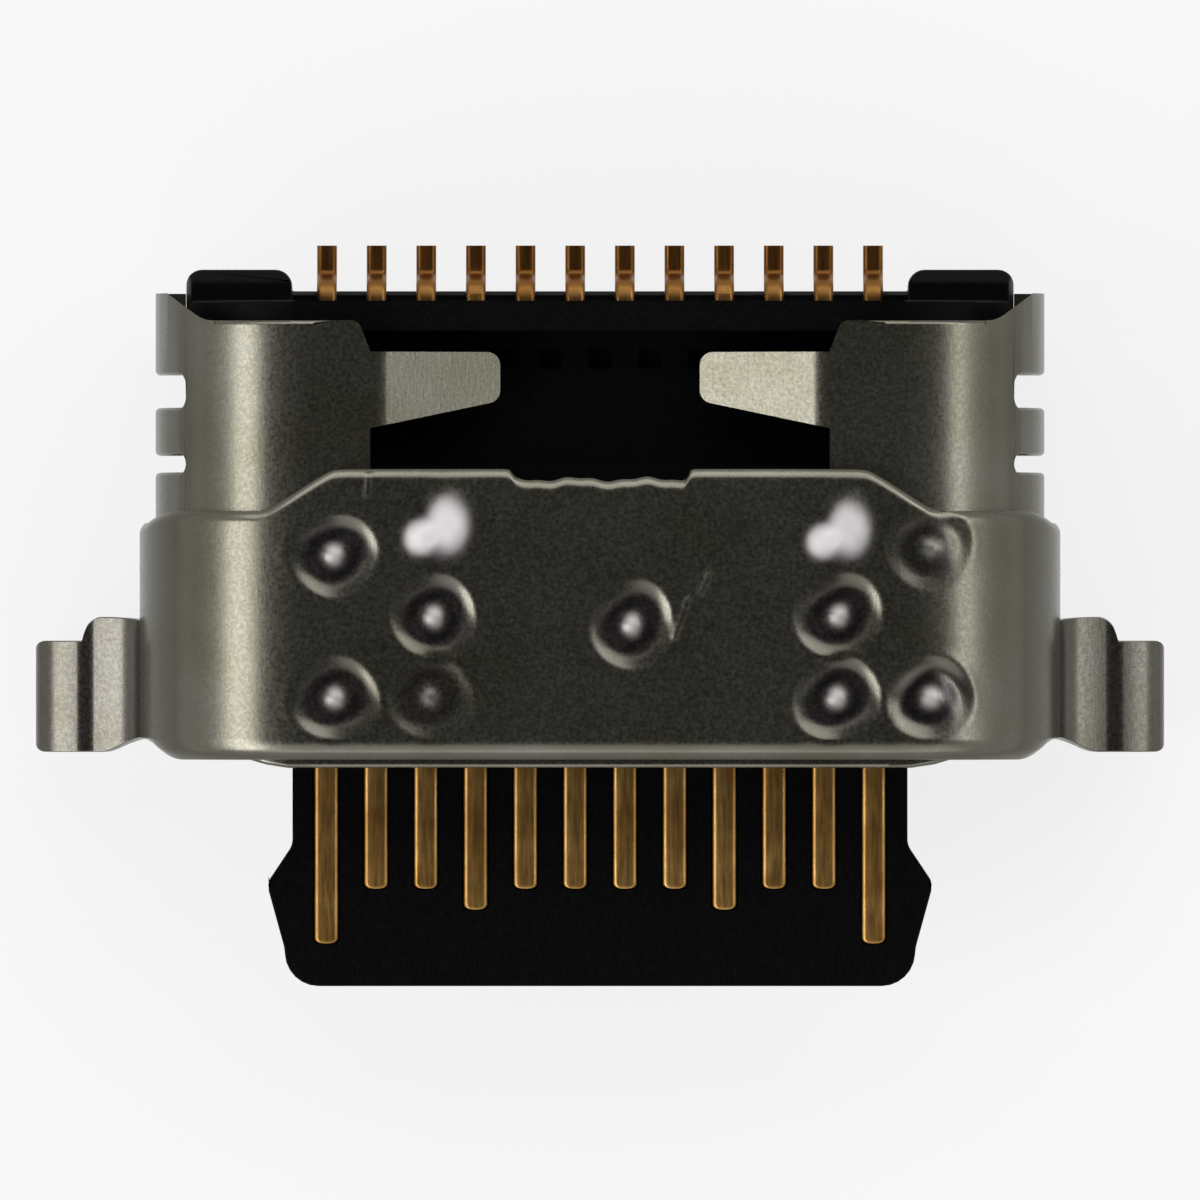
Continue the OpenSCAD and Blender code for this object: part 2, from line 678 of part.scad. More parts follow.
// A contact's strip, cut to its plan; grown by the clearance it is also the slot that it lies in
module contact_strip(i, path, end_y, grow = 0) {
    front = contact_w / 2 + grow;
    rear = tail_w / 2 + grow;
    front_y = tip_y + contact_setback(i) - grow;
    right = [
        [rear, end_y + grow, 0], [rear, base_y + 0.2, 0], [front, base_y - 0.1, 0], [front, front_y, front * 0.45]
    ];
    translate([contact_x(i), 0, 0]) intersection() {
        along_x(-front, front) polygon(strip(path, contact_t + 2 * grow));
        linear_extrude(shell_h) polygon(rounded(concat(right, mirrored(right))));
    }
}

module terminal_a(i) color("darkkhaki") contact_strip(i, upper_path(), tail_end_y);
module terminal_b(i) color("darkkhaki") contact_strip(i, lower_path(), lower_end_y);

// ---- Housing ----

// Pocket in the body's top, into which the spring arms slope
module arm_pocket() {
    floor_z = shell_h - shell_t - pocket_depth;
    half = cutout_w / 2 + 0.15;
    front_y = base_y + base_wall;
    rear_y = body_rear_y - base_wall;
    translate([0, 0, floor_z]) linear_extrude(pocket_depth + cut)
        polygon(rounded([[-half, front_y, 0.1], [half, front_y, 0.1], [half, rear_y, 0.1], [-half, rear_y, 0.1]]));
}

// A row of small windows between the upper contacts, left by pins that held them in the mould
module mould_windows() {
    depth = 0.12;
    floor_z = shell_h - shell_t - pocket_depth;
    mid_y = panel_rear_y - 0.38;
    for (i = [1:windows]) translate([pitch * (i - (windows + 1) / 2), mid_y, floor_z])
        cube([window_w, window_w * 0.85, 2 * depth], center = true);
}

// Pocket in the body's underside, in which the lower row's feet lie open to the solder
module foot_pocket() {
    room = 0.4 * contact_t;
    block(
        -ledge_w / 2, ledge_w / 2, lower_turn_y - 2 * room, lower_end_y + 2 * room,
        board_z - cut, board_z + contact_t + room
    );
}

// The part of the body on the board. Behind its rear face only the low corner pads go on,
// with a chamfer along their upper edges
module board_block() {
    half = body_w / 2;
    top_z = board_z + pad_h;
    right = [
        [half, board_edge_y, 0], [half, pad_rear_y, pad_r], [ledge_w / 2, pad_rear_y, pad_r],
        [ledge_w / 2, body_rear_y, 0]
    ];
    difference() {
        intersection() {
            along_y(board_edge_y, pad_rear_y) arch(body_w, body_h, board_z);
            linear_extrude(shell_h) polygon(rounded(concat(right, mirrored(right))));
        }
        along_x(-half - cut, half + cut) polygon([
            [body_rear_y, top_z], [pad_rear_y - pad_chamfer, top_z], [pad_rear_y, top_z - pad_chamfer],
            [pad_rear_y + cut, top_z - pad_chamfer], [pad_rear_y + cut, shell_h], [body_rear_y, shell_h]
        ]);
    }
}

// The ledge under the tails, with a sloping lip
module ledge() along_x(-ledge_w / 2, ledge_w / 2) polygon([
    [body_rear_y - 0.1, board_z], [ledge_rear_y, board_z], [ledge_rear_y, board_z + ledge_h * 0.7],
    [ledge_rear_y - 0.04, board_z + ledge_h], [body_rear_y - 0.1, board_z + ledge_h]
]);

module locating_peg() translate([peg_spacing / 2, body_rear_y - 0.22, board_z - peg_l]) {
    tip = 0.08;
    translate([0, 0, tip]) cylinder(h = peg_l - tip + 0.1, r = peg_r);
    cylinder(h = tip, r1 = peg_r - tip, r2 = peg_r);
}

module housing_solid() {
    plastic_t = tongue_t - 2 * contact_proud;
    core_t = root_t - 2 * ground_t - 2 * fit_gap;
    translate([0, 0, axis_z - plastic_t / 2]) linear_extrude(plastic_t)
        tongue_plan([[tongue_neck_w / 2, base_y + 0.1, 0]]);
    translate([0, 0, axis_z - core_t / 2]) linear_extrude(core_t) polygon(rounded([
        [-root_w / 2, tongue_root_y, 0.15], [root_w / 2, tongue_root_y, 0.15],
        [root_w / 2, base_y + 0.1, 0], [-root_w / 2, base_y + 0.1, 0]
    ]));
    along_y(base_y, board_edge_y) oval(body_w, body_h);
    board_block();
    ledge();
    both_sides() locating_peg();
}

module housing() color("dimgray") difference() {
    housing_solid();
    arm_pocket();
    mould_windows();
    foot_pocket();
    mid_plate_solid(fit_gap);
    ground_plate_solid(fit_gap);
    below() ground_plate_solid(fit_gap);
    for (i = [1:contacts]) {
        contact_strip(i, upper_path(), tail_end_y, fit_gap);
        contact_strip(i, lower_path(), lower_end_y, fit_gap);
    }
}

shell();
bracket();
housing();
mid_plate();
ground_plate_top();
ground_plate_bottom();
for (i = [1:contacts]) terminal_a(i);
for (i = [1:contacts]) terminal_b(i);
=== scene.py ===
import bpy
import bmesh
import numpy as np
from mathutils import Matrix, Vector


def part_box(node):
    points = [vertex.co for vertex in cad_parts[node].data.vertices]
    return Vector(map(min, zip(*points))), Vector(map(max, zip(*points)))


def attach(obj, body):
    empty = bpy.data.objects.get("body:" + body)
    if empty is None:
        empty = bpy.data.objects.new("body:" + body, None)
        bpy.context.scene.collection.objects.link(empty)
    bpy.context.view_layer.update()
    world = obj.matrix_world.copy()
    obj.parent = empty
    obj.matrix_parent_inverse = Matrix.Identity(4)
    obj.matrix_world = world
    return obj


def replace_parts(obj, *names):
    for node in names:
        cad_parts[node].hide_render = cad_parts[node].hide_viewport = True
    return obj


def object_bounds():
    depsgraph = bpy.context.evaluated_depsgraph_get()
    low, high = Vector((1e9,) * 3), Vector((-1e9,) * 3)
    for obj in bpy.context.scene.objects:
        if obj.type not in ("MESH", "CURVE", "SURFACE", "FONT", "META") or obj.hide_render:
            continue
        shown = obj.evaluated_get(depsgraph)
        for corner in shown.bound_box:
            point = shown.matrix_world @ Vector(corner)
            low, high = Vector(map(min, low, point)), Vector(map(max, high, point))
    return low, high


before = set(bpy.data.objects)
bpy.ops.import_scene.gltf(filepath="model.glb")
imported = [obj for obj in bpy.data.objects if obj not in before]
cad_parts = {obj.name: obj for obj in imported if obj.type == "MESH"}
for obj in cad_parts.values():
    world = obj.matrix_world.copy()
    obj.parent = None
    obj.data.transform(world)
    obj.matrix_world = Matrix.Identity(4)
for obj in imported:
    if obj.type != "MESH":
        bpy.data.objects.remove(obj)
cad_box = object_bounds()

# ---------------------------------------------------------------- Studio
# The socket lies on a plain pale floor, seen from straight above. Soft lamps stand on all four sides at half
# height, the left one nearer the front and the right one nearer the back, under a dim sky that is darkest
# overhead.
MM = 0.001
camera_height = 300 * MM
view_width = 12 * MM
view_centre_y = 0.155 * MM
camera_data = bpy.data.cameras.new("camera")
camera_data.sensor_width = 36
camera_data.lens = camera_data.sensor_width * camera_height / view_width
camera_data.clip_start = 10 * MM
camera_data.clip_end = 20
camera = bpy.data.objects.new("camera", camera_data)
camera.location = (0, view_centre_y, camera_height + cad_box[1].z)
bpy.context.scene.collection.objects.link(camera)
bpy.context.scene.camera = camera
bpy.context.scene.view_settings.view_transform = "Standard"


def soft_lamp(name, direction, width, length, radiance):
    """A rectangle of light of even radiance, far out along direction and facing the middle; its length runs
    along Y."""
    distance = 0.6
    data = bpy.data.lights.new(name, "AREA")
    data.shape = "RECTANGLE"
    data.size, data.size_y = width, length
    data.energy = radiance * np.pi * width * length
    lamp = bpy.data.objects.new(name, data)
    away = np.array(direction, float) / np.linalg.norm(direction)
    side = np.cross([0, 1, 0], away)
    side /= np.linalg.norm(side)
    up = np.cross(away, side)
    turn = np.eye(4)
    turn[:3, 0], turn[:3, 1], turn[:3, 2], turn[:3, 3] = side, up, away, away * distance
    lamp.matrix_world = Matrix(turn.tolist())
    lamp.visible_camera = False
    bpy.context.scene.collection.objects.link(lamp)


soft_lamp("lamp_left", (-0.72, -0.30, 0.62), 0.22, 0.50, 3.8)
soft_lamp("lamp_right", (0.78, 0.30, 0.59), 0.13, 0.50, 2.3)
soft_lamp("lamp_front", (0, -0.74, 0.67), 1.00, 0.50, 0.55)
soft_lamp("lamp_back", (0, 0.74, 0.67), 1.00, 0.50, 1.15)


def node(tree, kind, inputs=None, **settings):
    """A new shader node: its settings, and for each input either a value or the socket that feeds it."""
    made = tree.nodes.new("ShaderNode" + kind)
    for key, value in settings.items():
        setattr(made, key, value)
    for key, value in (inputs or {}).items():
        if isinstance(value, bpy.types.NodeSocket):
            tree.links.new(value, made.inputs[key])
        else:
            made.inputs[key].default_value = value
    return made


def colour_steps(tree, factor, stops, interpolation="LINEAR"):
    """The colour that a ramp through stops, given as (place, colour), has at factor."""
    made = node(tree, "ValToRGB", {0: factor})
    made.color_ramp.interpolation = interpolation
    for i, (place, colour) in enumerate(stops):
        stop = made.color_ramp.elements[i] if i < 2 else made.color_ramp.elements.new(place)
        stop.position = place
        stop.color = (*colour, 1)
    return made.outputs[0]


world = bpy.data.worlds.new("studio")
bpy.context.scene.world = world
world.use_nodes = True
sky = world.node_tree
sky.nodes.clear()
direction = node(sky, "TexCoord").outputs["Generated"]
height = node(sky, "SeparateXYZ", {0: direction}).outputs["Z"]
sky_levels = ((0.0, 0.55), (1.0, 0.035), (0.5, 0.52), (0.82, 0.08))
grey = colour_steps(sky, height, [(place, (level,) * 3) for place, level in sky_levels], "EASE")
glow = node(sky, "Background", {0: grey})
node(sky, "OutputWorld", {0: glow.outputs[0]})

floor_reach = 2.0
floor_below = 0.002 * MM
paper_white = 0.86
glow_share = 0.8
corners = [(x * floor_reach, y * floor_reach, 0) for x, y in ((-1, -1), (1, -1), (1, 1), (-1, 1))]
floor_mesh = bpy.data.meshes.new("floor")
floor_mesh.from_pydata(corners, [], [(0, 1, 2, 3)])
floor = bpy.data.objects.new("floor", floor_mesh)
floor.location.z = cad_box[0].z - floor_below
bpy.context.scene.collection.objects.link(floor)
paper = bpy.data.materials.new("paper")
paper.use_nodes = True
tree = paper.node_tree
tree.nodes.clear()
matt = node(tree, "BsdfDiffuse", {"Color": (paper_white, paper_white, paper_white, 1)})
white = node(tree, "Emission")
ray = node(tree, "LightPath").outputs
seen = node(tree, "Math", {0: ray["Is Camera Ray"], 1: ray["Is Glossy Ray"]}, operation="MAXIMUM")
seen = node(tree, "Math", {0: seen.outputs[0], 1: ray["Is Transmission Ray"]}, operation="MAXIMUM")
share = node(tree, "Math", {0: seen.outputs[0], 1: glow_share}, operation="MULTIPLY")
mix = node(tree, "MixShader", {0: share.outputs[0], 1: matt.outputs[0], 2: white.outputs[0]})
node(tree, "OutputMaterial", {0: mix.outputs[0]})
floor_mesh.materials.append(paper)


# ---------------------------------------------------------------- Plates in the tongue
# A stiff middle plate runs through the whole tongue and stands out at both latch notches. A thin ground plate
# lies on the tongue's root above and below. All three are stamped from nickel-plated steel and moulded in.
def start_material(name):
    """A new material, its node tree, its shader, and the socket that gives the object's own coordinates."""
    material = bpy.data.materials.new(name)
    material.use_nodes = True
    tree = material.node_tree
    return material, tree, tree.nodes["Principled BSDF"], node(tree, "TexCoord").outputs["Object"]


def noise(tree, place, scale, detail, roughness):
    """A noise's value at place. The scale, in cells per metre, is one number or three for X, Y and Z."""
    if isinstance(scale, tuple):
        place, scale = node(tree, "Mapping", {"Vector": place, "Scale": scale}).outputs[0], 1.0
    inputs = {"Vector": place, "Scale": scale, "Detail": detail, "Roughness": roughness}
    return node(tree, "TexNoise", inputs).outputs["Fac"]


def spread(tree, value, low, high):
    """Stretches a noise's usual span onto low to high."""
    usual_low, usual_high = 0.3, 0.7
    inputs = {"Value": value, "From Min": usual_low, "From Max": usual_high, "To Min": low, "To Max": high}
    return node(tree, "MapRange", inputs).outputs[0]


def mixed(tree, factor, first, second):
    """The colour from socket first, turning into the plain colour second as factor grows."""
    return node(tree, "Mix", {"Factor": factor, 6: first, 7: (*second, 1)}, data_type="RGBA").outputs[2]


def coat(tree, shader, colour, roughness, height, grain):
    """Gives the shader its colour and roughness, and a relief of depth grain that follows height."""
    bump = node(tree, "Bump", {"Height": height, "Strength": 1.0, "Distance": grain})
    tree.links.new(colour, shader.inputs["Base Color"])
    tree.links.new(roughness, shader.inputs["Roughness"])
    tree.links.new(bump.outputs[0], shader.inputs["Normal"])


def rolled_steel(name, bright, tarnished, grain, painted_wall_shade=0.0, heat_colour=None):
    """Nickel-plated steel sheet: a faint rolled grain along Y, fine pits, patches of warmer tarnish, and
    painted shade that darkens the steep walls, as strongly as the argument after grain says. Given a
    heat_colour, it is tinted by the mesh's own attribute "burn", and pale and frosted by "melt"."""
    material, tree, shader, place = start_material(name)
    smoothest, roughest, frosting = 0.2, 0.34, 0.5
    level, sheer, painted_wall_shade_colour, set_metal = 0.84, 0.62, 0.2 * np.array(tarnished), (0.92, 0.89, 0.90)
    rolled = noise(tree, place, (42000, 7000, 42000), 4.0, 0.6)
    pits = noise(tree, place, 26000.0, 5.0, 0.65)
    patches = noise(tree, place, 900.0, 3.0, 0.5)
    colour = colour_steps(tree, patches, [(0.35, bright), (0.68, tarnished)])
    roughness = spread(tree, pits, smoothest, roughest)
    # Painted shade: once the normal turns more than about 33 degrees from straight up, the colour is pulled
    # towards a dim copy of the tarnish colour, so steep walls render darker than the lamps make them.
    facing = node(tree, "SeparateXYZ", {0: node(tree, "NewGeometry").outputs["Normal"]}).outputs["Z"]
    inputs = {"Value": facing, "From Min": level, "From Max": sheer, "To Max": painted_wall_shade}
    steep = node(tree, "MapRange", inputs).outputs[0]
    colour = mixed(tree, steep, colour, painted_wall_shade_colour)
    if heat_colour:
        burn = node(tree, "Attribute", attribute_name="burn").outputs["Fac"]
        melt = node(tree, "Attribute", attribute_name="melt").outputs["Fac"]
        colour = mixed(tree, burn, colour, heat_colour)
        colour = mixed(tree, melt, colour, set_metal)
        frosted = node(tree, "Math", {0: melt, 1: frosting, 2: roughness}, operation="MULTIPLY_ADD")
        roughness = frosted.outputs[0]
    both = node(tree, "Math", {0: rolled, 1: pits}, operation="ADD").outputs[0]
    coat(tree, shader, colour, roughness, both, grain)
    shader.inputs["Metallic"].default_value = 1.0
    return material


plate_nickel = rolled_steel("plate_nickel", (0.34, 0.33, 0.28), (0.28, 0.27, 0.21), 0.0006 * MM)
for plate in ("mid_plate", "ground_plate_top", "ground_plate_bottom"):
    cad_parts[plate].data.materials.clear()
    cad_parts[plate].data.materials.append(plate_nickel)

# ---------------------------------------------------------------- Contacts
# Twenty-four strips of gold-plated copper alloy in two rows. Each is blanked, coined round along its edges
# and bent, and lies flush in the tongue. The upper row ends in tails behind the body, the lower row in feet
# under it.
strip_t, strip_wide, tail_wide, coined_r, nose_l, nose_in = 0.15, 0.25, 0.20, 0.05, 0.055, 0.066
bend_r = 0.06 + strip_t / 2
point_gap = 0.06
brown_from_y, brown_to_y = 2.9, 3.4

# Along Y: where a strip narrows, where the upper row turns down to tail_z and again to its tails, where the
# lower row turns down to its feet, and how far each of these three slopes runs.
narrow_y, turn_y, tail_z, ledge_y, foot_turn_y = (1.1, 1.4), 2.555, 1.325, 3.285, 2.0
turn_run, ledge_run, foot_run = 0.2, 0.11, 0.1


def quarter_round(t):
    """0 up to t = 0, then rising ever more steeply to 1 at t = 1, as a quarter of a circle does."""
    return 1 - np.sqrt(1 - np.clip(t, 0, 1) ** 2)


def add_piece(name, mesh):
    """Puts a finished mesh into the scene as a piece that rides on the only body."""
    piece = bpy.data.objects.new(name, mesh)
    bpy.context.scene.collection.objects.link(piece)
    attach(piece, "root")
    return piece


def bent_path(corners, radius):
    """A path through corners (y, z): straight between them, with each inner corner turned into an arc of
    radius. Its points lie closer together in the nose at its start and in the bends. Returns them, and how
    far along the path each lies."""
    parts = [np.array(corners[:1], float)]
    for before, corner, after in zip(corners, corners[1:], corners[2:]):
        a = np.subtract(before, corner) / np.linalg.norm(np.subtract(before, corner))
        b = np.subtract(after, corner) / np.linalg.norm(np.subtract(after, corner))
        half = np.arccos(np.clip(a @ b, -1, 1)) / 2
        centre = corner + (a + b) / np.linalg.norm(a + b) * radius / np.sin(half)
        start = corner + a * radius / np.tan(half) - centre
        end = corner + b * radius / np.tan(half) - centre
        turn = np.pi - 2 * half
        t = np.linspace(0, 1, 6)[:, None]
        parts.append(centre + (start * np.sin((1 - t) * turn) + end * np.sin(t * turn)) / np.sin(turn))
    parts.append(np.array(corners[-1:], float))
    points = np.concatenate(parts)
    length = np.append(0, np.cumsum(np.linalg.norm(np.diff(points, axis=0), axis=1)))
    nose = nose_l * (1 - np.cos(np.linspace(0, np.pi / 2, 6)))
    bends = length[(length > nose_l + 0.015) & (length < length[-1] - 0.01)]
    even = np.arange(nose_l + 0.025, length[-1], point_gap)
    wanted = np.unique(np.round(np.concatenate([nose, bends, even, length[-1:]]), 5))
    return np.column_stack([np.interp(wanted, length, points[:, k]) for k in (0, 1)]), wanted


def contact_mesh(name, x, path, length):
    """A rounded rectangle carried along the path; its width follows y, and its start closes in a short round
    nose."""
    tangent = np.gradient(path, length, axis=0)
    tangent /= np.linalg.norm(tangent, axis=1)[:, None]
    narrowed = np.clip((path[:, 0] - narrow_y[0]) / (narrow_y[1] - narrow_y[0]), 0, 1)
    half = (strip_wide + (tail_wide - strip_wide) * narrowed) / 2
    half = half - nose_in * quarter_round(1 - length / nose_l)
    a = np.linspace(0, np.pi / 2, 4)
    arc = np.concatenate([np.column_stack([np.cos(a + k), np.sin(a + k)]) for k in np.arange(4) * np.pi / 2])
    corner = np.repeat([[1, 1], [-1, 1], [-1, -1], [1, -1]], 4, 0)
    across = corner[:, 0] * (half[:, None] - coined_r) + arc[:, 0] * coined_r
    over = np.broadcast_to(corner[:, 1] * (strip_t / 2 - coined_r) + arc[:, 1] * coined_r, across.shape)
    y, z = path[:, :1] - tangent[:, 1:] * over, path[:, 1:] + tangent[:, :1] * over
    points = np.stack([x + across, y, z], -1)
    rows, count = across.shape
    index = np.arange(rows * count).reshape(rows, count)
    beside = np.roll(index, -1, 1)
    sides = np.stack([index[:-1], index[1:], beside[1:], beside[:-1]], -1).reshape(-1, 4).tolist()
    ends = [index[0].tolist(), index[-1][::-1].tolist()]
    mesh = bpy.data.meshes.new(name)
    mesh.from_pydata((points.reshape(-1, 3) * MM).tolist(), [], sides + ends)
    work = bmesh.new()
    work.from_mesh(mesh)
    bmesh.ops.recalc_face_normals(work, faces=work.faces)
    work.to_mesh(mesh)
    work.free()
    mesh.shade_smooth()
    mesh.set_sharp_from_angle(angle=np.radians(50))
    return mesh


def gold_plate(name):
    """Gold over copper alloy: drawn grain along Y, worn in patches, and turning dark brown on the tails
    behind the body, from y 2.9 to 3.4 mm."""
    gold, worn, brown = (0.62, 0.37, 0.12), (0.40, 0.20, 0.05), (0.20, 0.085, 0.022)
    material, tree, shader, place = start_material(name)
    drawn = noise(tree, place, (30000, 2500, 30000), 4.0, 0.6)
    wear = noise(tree, place, 2200.0, 4.0, 0.6)
    inputs = {"Value": node(tree, "SeparateXYZ", {0: place}).outputs["Y"],
              "From Min": brown_from_y * MM, "From Max": brown_to_y * MM}
    behind = node(tree, "MapRange", inputs).outputs[0]
    colour = mixed(tree, behind, colour_steps(tree, wear, [(0.3, gold), (0.7, worn)]), brown)
    coat(tree, shader, colour, spread(tree, drawn, 0.3, 0.46), drawn, 0.0006 * MM)
    shader.inputs["Metallic"].default_value = 1.0
    return material


contact_gold = gold_plate("contact_gold")
for row in "ab":
    for i in range(1, 13):
        cad_name = f"terminal_{row}{i:02d}"
        low, high = (np.array(corner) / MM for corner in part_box(cad_name))
        flat_z, foot_z = high[2] - strip_t / 2, low[2] + strip_t / 2
        bends = [(foot_turn_y, flat_z), (foot_turn_y + foot_run, foot_z)]
        if row == "a":
            bends = [(turn_y, flat_z), (turn_y + turn_run, tail_z)]
            bends += [(ledge_y, tail_z), (ledge_y + ledge_run, foot_z)]
        path, length = bent_path([(low[1], flat_z), *bends, (high[1], foot_z)], bend_r)
        mesh = contact_mesh(cad_name + "_strip", (low[0] + high[0]) / 2, path, length)
        mesh.materials.append(contact_gold)
        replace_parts(add_piece(cad_name + "_strip", mesh), cad_name)

# ---------------------------------------------------------------- Housing
# One moulding in black glass-filled plastic: the tongue, its thick root, the block on the board and the ledge
# under the tails. Its edges are slightly rounded, as such mouldings come out of the tool.
def true_normals(mesh):
    """Each face corner's normal is the mean, weighted by area, of the faces round its point that lie within
    30 degrees of its own face, so flats shade flat and bends shade smooth."""
    count, faces = len(mesh.loops), len(mesh.polygons)
    point, sides = np.empty(count, int), np.empty(faces, int)
    area, facing = np.empty(faces), np.empty(faces * 3)
    mesh.loops.foreach_get("vertex_index", point)
    mesh.polygons.foreach_get("loop_total", sides)
    mesh.polygons.foreach_get("area", area)
    mesh.polygons.foreach_get("normal", facing)
    facing, face = facing.reshape(-1, 3), np.repeat(np.arange(faces), sides)
    order = np.argsort(point, kind="stable")
    first = np.searchsorted(point[order], point[order], "left")
    size = np.searchsorted(point[order], point[order], "right") - first
    one = np.repeat(order, size)
    other = order[np.arange(size.sum()) - np.repeat(np.cumsum(size) - size, size) + np.repeat(first, size)]
    same_bend = np.radians(30)
    near = (facing[face[one]] * facing[face[other]]).sum(1) > np.cos(same_bend)
    one, other = one[near], face[other[near]]
    total = np.zeros((count, 3))
    np.add.at(total, one, facing[other] * area[other, None])
    mesh.shade_smooth()
    mesh.normals_split_custom_set((total / np.linalg.norm(total, axis=1)[:, None]).tolist())


def applied(piece):
    """Makes what the piece's modifiers do to its mesh final, and returns the new mesh."""
    whole = bpy.data.meshes.new_from_object(piece.evaluated_get(bpy.context.evaluated_depsgraph_get()))
    piece.modifiers.clear()
    piece.data = whole
    return whole


def eased_copy(cad_name, name, radius, crowded, draw_back=None):
    """A copy of a solid's mesh, with its doubles merged, its flat faces made whole and its sharp edges
    rounded, apart from those with an end where crowded(x, y, z) says that fine slots leave no room.
    draw_back(x, y) moves points along Y."""
    double, flat_within, most_sides, sharp_from = 0.0002 * MM, np.radians(1.5), 24, np.radians(40)
    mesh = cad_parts[cad_name].data.copy()
    mesh.materials.clear()
    work = bmesh.new()
    work.from_mesh(mesh)
    bmesh.ops.remove_doubles(work, verts=work.verts, dist=double)
    bmesh.ops.dissolve_limit(work, angle_limit=flat_within, verts=work.verts, edges=work.edges)
    bmesh.ops.triangulate(work, faces=[face for face in work.faces if len(face.verts) > most_sides])
    work.to_mesh(mesh)
    work.edges.ensure_lookup_table()
    bend = np.array([edge.calc_face_angle(0.0) for edge in work.edges])
    work.free()
    ends = np.empty(len(mesh.edges) * 2, int)
    mesh.edges.foreach_get("vertices", ends)
    spots = np.empty(len(mesh.vertices) * 3)
    mesh.vertices.foreach_get("co", spots)
    x, y, z = spots.reshape(-1, 3).T / MM
    if draw_back:
        moved = np.column_stack([x, y + draw_back(x, y), z]) * MM
        mesh.vertices.foreach_set("co", moved.reshape(-1))
    no_room = crowded(x, y, z)[ends.reshape(-1, 2)].any(1)
    sharp = (bend > sharp_from) & ~no_room
    weight = mesh.attributes.new("bevel_weight_edge", "FLOAT", "EDGE")
    weight.data.foreach_set("value", sharp.astype(np.float32))
    piece = add_piece(name, mesh)
    ease = piece.modifiers.new("eased_edges", "BEVEL")
    ease.limit_method = "WEIGHT"
    ease.width = radius
    ease.segments = 3
    ease.use_clamp_overlap = False
    true_normals(applied(piece))
    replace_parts(piece, cad_name)
    return piece


def moulded_plastic(name):
    """Black glass-filled plastic: a fine matt skin with short pale fibre flecks lying in the flow along Y."""
    black, fleck = (0.0014, 0.0014, 0.0016), (0.006, 0.006, 0.0055)
    material, tree, shader, place = start_material(name)
    fibres = noise(tree, place, (60000, 14000, 60000), 3.0, 0.6)
    skin = noise(tree, place, 38000.0, 4.0, 0.6)
    colour = colour_steps(tree, fibres, [(0.5, black), (0.8, fleck)])
    coat(tree, shader, colour, spread(tree, skin, 0.4, 0.58), skin, 0.0008 * MM)
    shader.inputs["Specular IOR Level"].default_value = 0.07
    return material


def near_slots(x, y, z):
    """True among the contacts' slots, the mould windows and the middle plate's edges, but not at the tongue's
    tip."""
    slots_x, tip_y, plate_z, plate_near = 2.95, -3.6, 1.58, 0.1
    return ((np.abs(x) < slots_x) & (y > tip_y)) | (np.abs(z - plate_z) < plate_near)


housing = eased_copy("housing", "housing_moulding", 0.02 * MM, near_slots)
housing.data.materials.append(moulded_plastic("housing_plastic"))

# ---------------------------------------------------------------- Shell
# The inner shell is one sheet of nickel-plated steel, rolled into a full-round tube and closed by a dovetail
# underneath. Its edges are slightly rounded where the blanking tool left them.
# The third number is how strongly painted shade darkens the steep walls.
nickel, tarnished_nickel, painted_wall_shade = (0.26, 0.25, 0.21), (0.21, 0.20, 0.15), 0.72


def smooth_step(t):
    """0 up to t = 0 and 1 from t = 1 on, in a smooth S between."""
    t = np.clip(t, 0, 1)
    return t * t * (3 - 2 * t)


def near_seam(x, y, z):
    """True along the closed seam in the underside, where the spring arms leave the panel, and at the rear
    corners."""
    seam_x, seam_z, arm_x, arm_y, arm_z, corner_x, corner_y = 1.6, 0.4, 2.75, 1.3, 2.0, 3.9, 2.6
    seam = (np.abs(x) < seam_x) & (z < seam_z)
    arms = (np.abs(x) < arm_x) & (y > arm_y) & (z > arm_z)
    return seam | arms | ((np.abs(x) > corner_x) & (y > corner_y))


def mouth_sides(x, y):
    """The mouth's rim draws back at both sides, in a smooth S that is 1 mm wide."""
    back, from_x, rim_y = 0.22, 3.1, -1.5
    return np.where(y < rim_y, back * smooth_step(np.abs(x) - from_x), 0)


shell = eased_copy("shell", "shell_sheet", 0.045 * MM, near_seam, mouth_sides)
shell.data.materials.append(rolled_steel("shell_nickel", nickel, tarnished_nickel, 0.0008 * MM, painted_wall_shade))

# ---------------------------------------------------------------- Bracket
# The outer bracket is a thinner sheet bent over the shell and held by eleven ring-shaped laser welds. An ear
# on each side comes out of the wall, lies on the board and turns down through it. The middle of the rear edge
# is rough where the part was broken off its carrier strip.
shell_low, shell_high = (np.array(corner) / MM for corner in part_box("shell"))
bracket_low, bracket_high = (np.array(corner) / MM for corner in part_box("bracket"))
sheet_t, seat_gap, board_z = 0.15, 0.01, 1.0
axis_z = (shell_low[2] + shell_high[2]) / 2
half_flat = shell_high[0] - (shell_high[2] - shell_low[2]) / 2
bend_out = (shell_high[2] - shell_low[2]) / 2 + seat_gap + sheet_t
wall_x = half_flat + bend_out
wall_low_z, leg_end_z, ear_edge_x = board_z + 0.32, bracket_low[2], bracket_high[0]
front_y, rear_y, side_l = bracket_low[1], bracket_high[1], 2.49

# The rear edge's slopes and notch, the walls' ends, the ears and the rolled edges. A setback is a depth and
# the radius of a corner, a roll is a radius and a drop.
slope_x, slope_wide, notch_half, notch_deep = 2.68, 0.67, 0.84, 0.1
setback_start, setback_run = axis_z + 1.05, 0.8
front_setback, rear_setback, wall_from_x = (0.17, 0.15), (0.12, 0.35), 3.4
ear_in, ear_l, ear_step, ear_step_run, root_taper, slit = 0.07, 1.12, 0.14, 0.4, 0.03, 0.014
ear_start_z, ear_heat_z = axis_z - 0.02, axis_z - 0.03
hump_x, hump_fall_l, hump_deep = wall_x + 0.39, 0.19, 0.24
root_front, root_rear = front_y + ear_in + ear_step, front_y + ear_in + ear_l + hump_deep
leg_round_x, leg_round_y, leg_corner_r = 0.09, 0.07, 0.14
front_roll, rear_roll = (0.15, 0.12), (0.10, 0.05)

